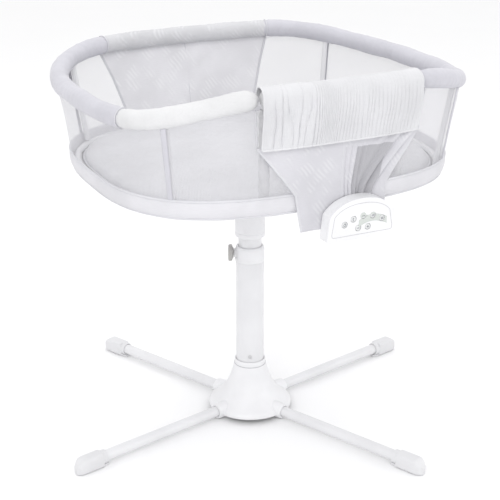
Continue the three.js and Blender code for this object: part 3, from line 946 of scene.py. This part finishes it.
def band_place(u, v, extra=0.0):
    degrees = lerp(RAIL_START, RAIL_END, u)
    out, up = band_section(v)
    metres = u * 0.36
    centre = rim_point(degrees)
    side = outward(degrees)
    over, rise = band_section(min(v + 0.01, 1.0))
    under, fall = band_section(max(v - 0.01, 0.0))
    along = Vector((over - under, rise - fall)).normalized()
    normal_out, normal_up = -along.y, along.x
    taper = smooth(0.0, 0.04, u) * smooth(0.0, 0.04, 1 - u)
    gain = lerp(0.25, 1.0, smooth(0.30, 0.62, v)) * lerp(0.45, 1.0, smooth(0.0, 0.05, 1 - v)) * taper
    height = gathers(metres, v) * gain + extra
    return centre + side * (out + normal_out * height) + Vector((0, 0, up + normal_up * height))


def make_rail():
    steps = 60
    points = [rim_point(lerp(RAIL_START, RAIL_END, i / steps)) for i in range(steps + 1)]

    def girth(share):
        end = min(share, 1 - share) * steps
        return (PAD_RADIUS - 0.003) * math.sqrt(smooth(-0.8, 1.6, end))

    pad = sweep("rail_cushion", points, girth, sides=24)
    inflate(pad, 0.0045, 3.0, 0.0015)
    modify(pad, "SUBSURF", levels=1, render_levels=1)
    dress(pad, "bedside_rail", "gathered_fabric", "rim_light", replaces=["rail_pad"])

    band = grid("gathered_band", band_place, 520, 60, (0.36, 0.19))
    modify(band, "SOLIDIFY", thickness=0.0012, offset=-1)
    dress(band, "bedside_rail", "gathered_fabric", replaces=["rail_band"])
    hem_points = [band_place(i / 150, 1.0, 0.0003) for i in range(151)]
    hem = sweep("band_hem", hem_points, 0.0019, sides=8, squash=1.3)
    dress(hem, "bedside_rail", "gathered_fabric", "hem")
    for name, at in (("left", 0.0), ("right", 1.0)):
        edge_points = [band_place(at, 0.02 + 0.98 * i / 60, 0.0004) for i in range(61)]
        edge = sweep(f"band_edge_{name}", edge_points, 0.0017, sides=8)
        dress(edge, "bedside_rail", "gathered_fabric", "hem")


def make_guide_sleeves():
    """Fabric tubes that hide the rail's two guides and springs inside the basket."""
    for name in ("left", "right"):
        low, high = corners(f"rail_guide_{name}")
        spring_low, spring_high = corners(f"rail_spring_{name}")
        centre = (low + high) / 2
        top = spring_high.z + 0.004
        points = [Vector((centre.x, centre.y, lerp(low.z - 0.001, top, i / 40))) for i in range(41)]

        def girth(share, phase=centre.x * 40):
            neck = lerp(1.0, 0.72, smooth(0.94, 1.0, share))
            return (0.0108 + 0.0007 * math.sin(share * 46 + phase) + 0.0004 * math.sin(share * 110)) * neck

        sleeve = sweep(f"guide_sleeve_{name}", points, girth, sides=20, cap=False)
        stood_for = [f"rail_spring_{name}", f"rail_guide_{name}"]
        dress(sleeve, "basket", "netting", "rim_light", replaces=stood_for)
        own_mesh(sleeve)


# ---- apron ----------------------------------------------------------------------------


APRON_BOTTOM_START = -101.2
APRON_BOTTOM_END = -70.4
APRON_SEAM = -91.5


def apron_edges(height):
    """The apron's two edge angles at a height: narrow at the tray, wide under the band."""
    if height < TRAY_TOP:
        share = (height - apron_low.z) / (TRAY_TOP - apron_low.z)
        return lerp(APRON_BOTTOM_START, -103.4, share), lerp(APRON_BOTTOM_END, -69.6, share)
    share = (height - TRAY_TOP) / (band_low.z - TRAY_TOP)
    return lerp(-103.4, -115.6, share), lerp(-69.6, -59.4, share)


def apron_point(degrees, height, out=0.0):
    """The apron's surface: on the netting above the tray, and over the tray's side below."""
    on_tray = outline(degrees, 0.0032 + out)
    on_tray.z = height
    if height < TRAY_TOP - 0.004:
        return on_tray
    on_wall = wall_point(degrees, height, 0.0042 + out)
    return on_tray.lerp(on_wall, smooth(TRAY_TOP - 0.004, TRAY_TOP + 0.03, height))


def tension_folds(u, v):
    """Straps of cloth pulled from the band's lower right corner towards the control unit."""
    total = 0.0
    for reach, strength, width in ((0.93, 0.0068, 0.026), (0.84, 0.0058, 0.028), (0.75, 0.0036, 0.032)):
        line = lerp(reach - 0.20, reach + 0.02, v)
        rise = smooth(0.05, 0.5, v)
        total += strength * math.exp(-(((u - line) / width) ** 2)) * rise
        total -= 0.42 * strength * math.exp(-(((u - line - width * 1.7) / (width * 0.7)) ** 2)) * rise
    return total


def pocket_ribs(u, v):
    """Pleats sewn into the middle right of the apron."""
    across = smooth(0.50, 0.53, u) * smooth(0.0, 0.03, 0.70 - u)
    upward = smooth(0.30, 0.36, v) * smooth(0.0, 0.05, 0.92 - v)
    return 0.0016 * across * upward * math.sin((u - 0.5) / 0.2 * 5 * 2 * math.pi)


def make_apron():
    bottom, top = apron_low.z, band_low.z + 0.004

    def place(u, v):
        height = lerp(bottom, top, v)
        start, end = apron_edges(min(height, band_low.z))
        degrees = lerp(start, end, u)
        edge = smooth(0.0, 0.06, u) * smooth(0.0, 0.06, 1 - u)
        slack = noise.noise(Vector((u * 5.0, v * 3.2, 4.0))) * 0.0022
        folds = tension_folds(u, v) + pocket_ribs(u, v) + slack
        return apron_point(degrees, height, folds * edge)

    length = path_length(lambda u: place(u, 0.7), 60)
    width = path_length(lambda v: place(0.4, v), 40)
    apron = grid("front_apron", place, 200, 80, (length, width))
    modify(apron, "SOLIDIFY", thickness=0.0018, offset=1)
    bake(apron)
    centre = apron_point(APRON_SEAM, TRAY_TOP)
    finish_blend(apron, "printed_fabric", "apron", ["apron_upper", "apron_lower"])
    area = sum(face.area for face in apron.data.polygons) / 2
    flat = (round(length * 1.06, 3), round(width, 3))
    area = round(min(area, 0.99 * flat[0] * flat[1]), 4)
    for name, u in (("left", 0.0), ("right", 1.0)):
        points = [place(u, i / 60) for i in range(61)]
        piping = sweep(f"apron_piping_{name}", points, 0.0024, sides=8)
        finish_blend(piping, "printed_fabric", "binding")
    seam = [place(0.505, i / 60) + outward(APRON_SEAM) * 0.001 for i in range(61)]
    finish_blend(sweep("apron_seam", seam, 0.0011, sides=8), "printed_fabric", "binding")


def finish_blend(obj, slot, look, replaces=()):
    obj.data.materials.clear()
    obj.data.materials.append(looks[look or slot])
    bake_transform(obj)
    if replaces:
        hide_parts(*replaces)


# ---- control unit ---------------------------------------------------------------------

UNIT_X = (unit_low.x + unit_high.x) / 2
UNIT_Z = unit_low.z
UNIT_HALF = (unit_high.x - unit_low.x) / 2
UNIT_HEIGHT = unit_high.z - unit_low.z
BUTTONS = [(-40, 34), (-20, 43), (2, 47), (24, 45), (45, 36), (-9, 23), (13, 23)]


def unit_outline(inset=0.0, count=16):
    """The unit's front view: straight foot, leaning sides and a low arch."""
    half = UNIT_HALF - inset
    shoulder = UNIT_HEIGHT * 0.62
    top = UNIT_HEIGHT - inset
    corners_xz = [(-half + 0.007, inset), (half - 0.007, inset)]
    right = quadratic((half - 0.007, inset), (half, inset), (half - 0.001, inset + 0.008), 6)
    rise = quadratic((half - 0.007, shoulder), (half * 0.62, top), (0, top), count)
    points = [corners_xz[1]] + right[1:] + rise
    left = [(-x, z) for x, z in reversed(points)]
    return points + left[1:]


def quadratic(a, b, c, count):
    made = []
    for i in range(count + 1):
        t = i / count
        x = (1 - t) ** 2 * a[0] + 2 * t * (1 - t) * b[0] + t * t * c[0]
        z = (1 - t) ** 2 * a[1] + 2 * t * (1 - t) * b[1] + t * t * c[1]
        made.append((x, z))
    return made


def slab(name, outline_points, back, front, holes=()):
    """A plate of an upright outline from y = back to y = front, with round holes."""
    bm = bmesh.new()
    loops = [[bm.verts.new((UNIT_X + x, back, UNIT_Z + z)) for x, z in outline_points]]
    for x, z, radius in holes:
        ring = []
        for k in range(28):
            turn = 2 * math.pi * k / 28
            spot = (UNIT_X + x + radius * math.cos(turn), back, UNIT_Z + z + radius * math.sin(turn))
            ring.append(bm.verts.new(spot))
        loops.append(ring)
    edges = []
    for loop in loops:
        for a, b in zip(loop, loop[1:] + loop[:1]):
            edges.append(bm.edges.new((a, b)))
    filled = bmesh.ops.triangle_fill(bm, use_beauty=True, use_dissolve=False, edges=edges)
    faces = [item for item in filled["geom"] if isinstance(item, bmesh.types.BMFace)]
    extruded = bmesh.ops.extrude_face_region(bm, geom=faces)
    moved = [item for item in extruded["geom"] if isinstance(item, bmesh.types.BMVert)]
    bmesh.ops.translate(bm, verts=moved, vec=(0, front - back, 0))
    return from_bmesh(name, bm, smooth_faces=False)


def icon_strokes(kind):
    """Generic marks, as lists of (x, z) points in units of the button's radius."""
    arc = [(0.45 * math.cos(t), 0.45 * math.sin(t)) for t in (math.radians(120 - 25 * i) for i in range(13))]
    if kind == 0:
        return [[(0.0, 0.15), (0.0, 0.55)], arc]
    if kind == 1:
        turns = [math.radians(110 + 14 * i) for i in range(11)]
        return [[(0.25 + 0.5 * math.cos(t), 0.5 * math.sin(t)) for t in turns]]
    if kind == 2:
        return [[(-0.5, -0.2), (-0.25, 0.15), (0.0, -0.1), (0.25, 0.2), (0.5, -0.15)]]
    if kind == 3:
        return [[(-0.4, -0.35), (-0.4, 0.1)], [(0.0, -0.35), (0.0, 0.35)], [(0.4, -0.35), (0.4, 0.5)]]
    if kind == 4:
        foot = (0.0, -0.45)
        return [[foot, (-0.45, 0.0), (-0.3, 0.35), (0.0, 0.15), (0.3, 0.35), (0.45, 0.0), foot]]
    if kind == 5:
        return [[(-0.45, 0.0), (0.45, 0.0)]]
    return [[(-0.45, 0.0), (0.45, 0.0)], [(0.0, -0.45), (0.0, 0.45)]]


def make_button(number, x, z):
    radius = 0.0062
    front = face_low.y + 0.0004
    profile = [
        (0, front + 0.0002), (radius * 0.55, front), (radius * 0.86, front + 0.0004),
        (radius, front + 0.0016),
        (radius, face_high.y - 0.0016),
    ]
    button = lathe(f"button_cap_{number}", [(r, y) for r, y in profile], 40)
    button.data.transform(Matrix(((1, 0, 0, UNIT_X + x), (0, 0, 1, 0), (0, -1, 0, UNIT_Z + z), (0, 0, 0, 1))))
    dress(button, f"button_{number}", "button_grey", replaces=[f"button_{number}"])
    for part, stroke in enumerate(icon_strokes(number - 1)):
        at_x, at_z = UNIT_X + x, UNIT_Z + z
        points = [Vector((at_x + radius * a, front - 0.0001, at_z + radius * b)) for a, b in stroke]
        mark = sweep(f"icon_{number}_{part + 1}", points, 0.00055, sides=6)
        dress(mark, f"button_{number}", "button_grey", "icon")


def make_control_unit():
    back = slab("control_housing", unit_outline(0.0), unit_high.y, unit_low.y)
    soften(back, 0.004, 4)
    dress(back, "basket", "shell_plastic", replaces=["control_back", "circuit_board", "speaker"])
    holes = [(x / 1000, z / 1000, 0.0068) for x, z in BUTTONS]
    face = slab("control_fascia", unit_outline(0.0), face_high.y, face_low.y + 0.0006, holes)
    soften(face, 0.0022, 3, 50)
    dress(face, "basket", "shell_plastic", replaces=["control_face"])
    inner = [Vector((UNIT_X + x, face_low.y + 0.0004, UNIT_Z + z)) for x, z in unit_outline(0.010)]
    # A darker cord along the fascia's groove line: painted shade in the groove.
    line = sweep("fascia_groove", inner, 0.0004, sides=6, closed=True)
    dress(line, "basket", "shell_plastic", "seam_shadow")
    strip = quadratic((-0.008, 0.0385), (0.020, 0.0575), (0.056, 0.0385), 14)
    lower = [(x, z - 0.0145) for x, z in reversed(strip)]
    shape = [(x, z) for x, z in strip] + lower
    strip_holes = [(BUTTONS[i][0] / 1000, BUTTONS[i][1] / 1000, 0.0069) for i in (2, 3, 4)]
    window = slab("indicator_strip", shape, face_low.y + 0.0008, face_low.y + 0.0002, strip_holes)
    dress(window, "basket", "shell_plastic", "lens")
    for number, (x, z) in enumerate(BUTTONS, 1):
        make_button(number, x / 1000, z / 1000)


# ---- column and base ------------------------------------------------------------------


def make_mast():
    radius = (inner_high.x - inner_low.x) / 2
    tube = pipe("mast_tube", radius, COLUMN_WALL, inner_low.z, inner_high.z)
    soften(tube, 0.0004)
    dress(tube, "mast", "steel_white", replaces=["column_inner"])
    r = (socket_high.x - socket_low.x) / 2
    z0, z1 = socket_low.z, socket_high.z
    socket = lathe("swivel_collar", [
        (radius + 0.0004, z0), (r - 0.002, z0), (r - 0.0005, z0 + 0.001), (r, z0 + 0.003),
        (r, z0 + 0.010),
        (r - 0.0007, z0 + 0.0105), (r - 0.0007, z0 + 0.0120), (r, z0 + 0.0125), (r, z1 - 0.006),
        (r - 0.0015, z1 - 0.0015),
        (r - 0.003, z1), (radius + 0.0004, z1),
    ], closed=True)
    soften(socket, 0.0003)
    dress(socket, "mast", "shell_plastic", replaces=["swivel_socket"])


def make_column():
    radius = COLUMN_RADIUS
    tube = pipe("column_tube", radius, COLUMN_WALL, outer_low.z, outer_high.z)
    soften(tube, 0.0005)
    dress(tube, "base", "steel_white", replaces=["column_outer"])

    z0, z1 = outer_high.z + 0.0004, collar_high.z
    r = radius + 0.0006
    collar = lathe("clamp_ring", [
        (0.0265, z0 - 0.034), (radius - 0.0029, z0 - 0.034), (radius - 0.0029, z0), (r, z0),
        (r + 0.0006, z0 + 0.002),
        (r + 0.0006, z0 + 0.006), (r, z0 + 0.0075), (r, z1 - 0.010), (r - 0.0008, z1 - 0.004),
        (r - 0.003, z1 - 0.0005),
        (r - 0.005, z1), (0.0265, z1),
    ], closed=True)
    soften(collar, 0.0004)
    dress(collar, "base", "shell_plastic", replaces=["clamp_collar"])

    make_lock()
    make_column_screw()


def make_lock():
    low, high = corners("lock_pin")
    height = (low.z + high.z) / 2
    boss = lathe("lock_boss", [
        (0.0055, 0.0285), (0.0125, 0.0285), (0.0115, 0.0325), (0.0098, 0.0345), (0.0092, 0.0360),
        (0.0055, 0.0360),
    ], 48, closed=True)
    place_sideways(boss, height)
    soften(boss, 0.0004)
    dress(boss, "base", "shell_plastic")
    knob_profile = [
        (0.0052, 0.0368), (0.0100, 0.0368), (0.0118, 0.0376), (0.0130, 0.0392), (0.0170, 0.0400),
        (0.0186, 0.0412),
        (0.0190, 0.0430), (0.0190, 0.0458), (0.0184, 0.0474), (0.0168, 0.0486), (0.0145, 0.0490),
        (0.0110, 0.0480),
        (0.0060, 0.0474), (0.0, 0.0472),
    ]
    knob = lathe("pull_knob", knob_profile, 96)
    for vertex in knob.data.vertices:
        radial = math.hypot(vertex.co.x, vertex.co.y)
        if radial > 0.0178:
            grip = 1 - 0.018 * (0.5 + 0.5 * math.cos(24 * math.atan2(vertex.co.y, vertex.co.x)))
            vertex.co.x *= grip
            vertex.co.y *= grip
    place_sideways(knob, height)
    dress(knob, "lock", "knob_grey", replaces=["lock_knob"])
    pin = lathe("plunger_pin", [
        (0, 0.0266), (0.0036, 0.0266), (0.0049, 0.0280), (0.0049, 0.0460), (0, 0.0460),
    ], 40)
    place_sideways(pin, height)
    dress(pin, "lock", "zinc", replaces=["lock_pin"])


def make_column_screw():
    screw = lathe("column_rivet", [
        (0, 0.0324), (0.0040, 0.0324), (0.0042, 0.0332), (0.0036, 0.0342), (0.0022, 0.0347),
        (0.0012, 0.0343), (0, 0.0343),
    ], 32)
    screw.data.transform(Matrix.Rotation(math.pi / 2, 4, "X"))
    low, high = corners("column_screw")
    screw.data.transform(Matrix.Translation((0, 0, (low.z + high.z) / 2)))
    turn_with_base(screw)
    dress(screw, "base", "zinc", replaces=["column_screw"])


def place_sideways(obj, height):
    """Lays a piece turned about Z along the base's own -X at a height."""
    obj.data.transform(Matrix.Rotation(-math.pi / 2, 4, "Y"))
    obj.data.transform(Matrix.Translation((0, 0, height)))
    turn_with_base(obj)


def make_hub():
    top = hub_high.z
    column = COLUMN_RADIUS
    profile = [
        (0.0935, 0.0125), (0.0955, 0.0120), (0.0962, 0.0135), (0.0958, 0.0175), (0.0940, 0.0215),
        (0.0895, 0.0255),
        (0.0815, 0.0310), (0.0735, 0.0375), (0.0655, 0.0455), (0.0582, 0.0555), (0.0520, 0.0665),
        (0.0468, 0.0790),
        (0.0428, 0.0920), (0.0395, 0.1030), (0.0372, 0.1110), (0.0360, 0.1140), (0.0356, 0.1148),
        (0.0352, 0.1156),
        (0.0352, top - 0.0015), (0.0345, top), (column + 0.0004, top), (column + 0.0004, 0.112),
        (0.0405, 0.089),
        (0.0495, 0.065), (0.0635, 0.0435), (0.0795, 0.0285), (0.0915, 0.018),
    ]
    hub = lathe("hub_cover", profile, 128, closed=True)
    modify(hub, "SUBSURF", levels=1, render_levels=1)
    dress(hub, "base", "shell_plastic", replaces=["hub_shell"])
    # A darker band round the hub's seam: painted shade in the seam.
    groove = lathe("hub_seam", [
        (0.0356 + 0.0002, 0.1136), (0.0364, 0.1140), (0.0364, 0.1150), (0.0356 + 0.0002, 0.1154),
    ], 96, closed=True)
    dress(groove, "base", "shell_plastic", "seam_shadow")
    for name, angle in LEGS.items():
        socket = lathe(f"leg_socket_{name}", [
            (0.0126, 0.070), (0.0185, 0.070), (0.0182, 0.088), (0.0176, 0.098), (0.0170, 0.1015),
            (0.0158, 0.1030),
            (0.0126, 0.1030),
        ], 48, closed=True)
        lay_along_leg(socket, angle)
        soften(socket, 0.0005)
        dress(socket, "base", "shell_plastic")


def boot_point(u, v):
    """A foot's rounded skin: u round its section, v along it from the heel to the toe."""
    length, width, height = 0.066, 0.032, 0.034
    along = lerp(-length / 2, length / 2, v)
    nose = smooth(0.62, 1.0, v)
    tail = smooth(0.10, 0.0, v)
    shrink = math.sqrt(max(1 - nose ** 3.2 * 0.86, 0.0)) * (1 - 0.06 * tail)
    turn = 2 * math.pi * u
    c, s = math.cos(turn), math.sin(turn)
    power = 0.42
    y = math.copysign(abs(c) ** power, c) * width / 2 * shrink
    z = math.copysign(abs(s) ** power, s) * height / 2
    crown = 1 - 0.42 * nose ** 2
    z = height / 2 + (z if z < 0 else z * (2 * crown - 1))
    return Vector((FOOT_REACH + along, y, max(z, 0.0) + 0.0002))


def make_foot(name, angle):
    bm = bmesh.new()
    rings = []
    columns, rows = 40, 26
    for j in range(rows + 1):
        rings.append([bm.verts.new(boot_point(i / columns, j / rows)) for i in range(columns)])
    for a, b in zip(rings, rings[1:]):
        for i in range(columns):
            k = (i + 1) % columns
            bm.faces.new((a[i], a[k], b[k], b[i]))
    bm.faces.new(rings[0])
    bm.faces.new(rings[-1])
    boot = from_bmesh(f"boot_{name}", bm)
    modify(boot, "SUBSURF", levels=1, render_levels=1)
    turn_with_base(boot, angle)
    dress(boot, "base", "foot_plastic", replaces=[f"foot_{name}"])

    heel = FOOT_REACH - 0.033
    collar = lathe(f"boot_collar_{name}", [
        (0.0124, heel - 0.010), (0.0146, heel - 0.010), (0.0152, heel - 0.008),
        (0.0154, heel + 0.002), (0.0124, heel + 0.002),
    ], 48, closed=True)
    lay_along_leg(collar, angle)
    soften(collar, 0.0006)
    dress(collar, "base", "foot_plastic")

    bm = bmesh.new()
    tongue = [(heel - 0.014, -0.009), (heel + 0.004, -0.0125), (heel + 0.004, 0.0125), (heel - 0.014, 0.009)]
    lower = [bm.verts.new((x, y, 0.0002)) for x, y in tongue]
    upper = [bm.verts.new((x, y, 0.0052)) for x, y in tongue]
    bm.faces.new(list(reversed(lower)))
    bm.faces.new(upper)
    for k in range(4):
        n = (k + 1) % 4
        bm.faces.new((lower[k], lower[n], upper[n], upper[k]))
    sole = from_bmesh(f"sole_tongue_{name}", bm, smooth_faces=False)
    soften(sole, 0.0018, 3)
    turn_with_base(sole, angle)
    dress(sole, "base", "foot_plastic")


def make_legs():
    for name, angle in LEGS.items():
        start, end = 0.047, FOOT_REACH + 0.018
        tube = pipe(f"leg_tube_{name}", LEG_RADIUS, LEG_WALL, start, end, 48)
        lay_along_leg(tube, angle)
        soften(tube, 0.0004)
        dress(tube, "base", "steel_white", replaces=[f"leg_{name}"])
        make_foot(name, angle)


def make_swivel_plate():
    z0, z1 = plate_low.z, plate_high.z
    r = (plate_high.x - plate_low.x) / 2
    plate = lathe("swivel_disc", [
        (0, z0), (0.030, z0), (0.034, z0 - 0.001), (0.040, z0), (r - 0.010, z0),
        (r - 0.003, z0 + 0.0012),
        (r, z0 + 0.004), (r, z1), (0, z1),
    ], 96)
    soften(plate, 0.0005)
    dress(plate, "basket", "steel_white", replaces=["swivel_plate"])
    for number in range(4):
        head = lathe(f"plate_bolt_{number + 1}", [
            (0, z0 - 0.0030), (0.0045, z0 - 0.0030), (0.0055, z0 - 0.0022), (0.0058, z0 - 0.0004),
            (0.0058, z0 + 0.0004),
            (0, z0 + 0.0004),
        ], 24)
        turn = math.radians(45 + 90 * number)
        head.data.transform(Matrix.Translation((0.068 * math.cos(turn), 0.068 * math.sin(turn), 0)))
        dress(head, "basket", "zinc")


def dress_frame_nodes():
    """Every CAD node that stays visible gets its slot's material."""
    slots = {row["node"]: row["material_slot"] for row in frame["record"]["subparts"]}
    for name, node in frame["nodes"].items():
        node.data.materials.clear()
        node.data.materials.append(looks[slots[name]])


# ---- stage ----------------------------------------------------------------------------


def make_stage():
    bm = bmesh.new()
    bmesh.ops.create_grid(bm, x_segments=4, y_segments=4, size=9)
    floor = from_bmesh("studio_floor", bm)
    floor.location.z = -0.0003
    g = Graph("floor_white")
    dust = g.noise(g.coordinates("Object"), 3.0, 3.0)
    g.set(Base_Color=g.blend(dust, (0.93, 0.93, 0.935), (0.95, 0.95, 0.955)), Roughness=0.9)
    floor.data.materials.append(g.material)


def make_lights():
    world = bpy.data.worlds.new("studio")
    bpy.context.scene.world = world
    world.use_nodes = True
    background = world.node_tree.nodes["Background"]
    background.inputs[0].default_value = (1.0, 1.0, 1.0, 1)
    background.inputs[1].default_value = 1.0
    for name, place, energy, size in (
        ("key", (-1.6, -2.4, 2.6), 30, 1.6),
        ("fill", (2.6, -1.9, 1.2), 8, 1.8),
        ("top", (0.3, 0.8, 3.2), 18, 2.2),
    ):
        data = bpy.data.lights.new(name, "AREA")
        data.energy = energy
        data.size = size
        light = bpy.data.objects.new(name, data)
        light.location = place
        aim = Vector((0, 0, 0.6)) - Vector(place)
        light.rotation_euler = aim.to_track_quat("-Z", "Y").to_euler()
        bpy.context.scene.collection.objects.link(light)
    bpy.context.scene.view_settings.view_transform = "Standard"


make_camera()
looks = make_materials()
dress_frame_nodes()
make_rim()
make_netting(
    "netting_left", (117.6, 122.2, 125.9), (256.4, 244.2, 243.6), ["mesh_rear_left", "mesh_front_left"],
)
make_netting(
    "netting_right", (-69.4, -59.2, -58.4), (64.9, 62.2, 60.1), ["mesh_rear_right", "mesh_front_right"],
)
make_post_sleeves()
make_rear_panel()
make_tray()
make_mattress()
make_rail()
make_guide_sleeves()
make_apron()
make_control_unit()
make_mast()
make_column()
make_hub()
make_legs()
make_swivel_plate()
make_stage()
make_lights()
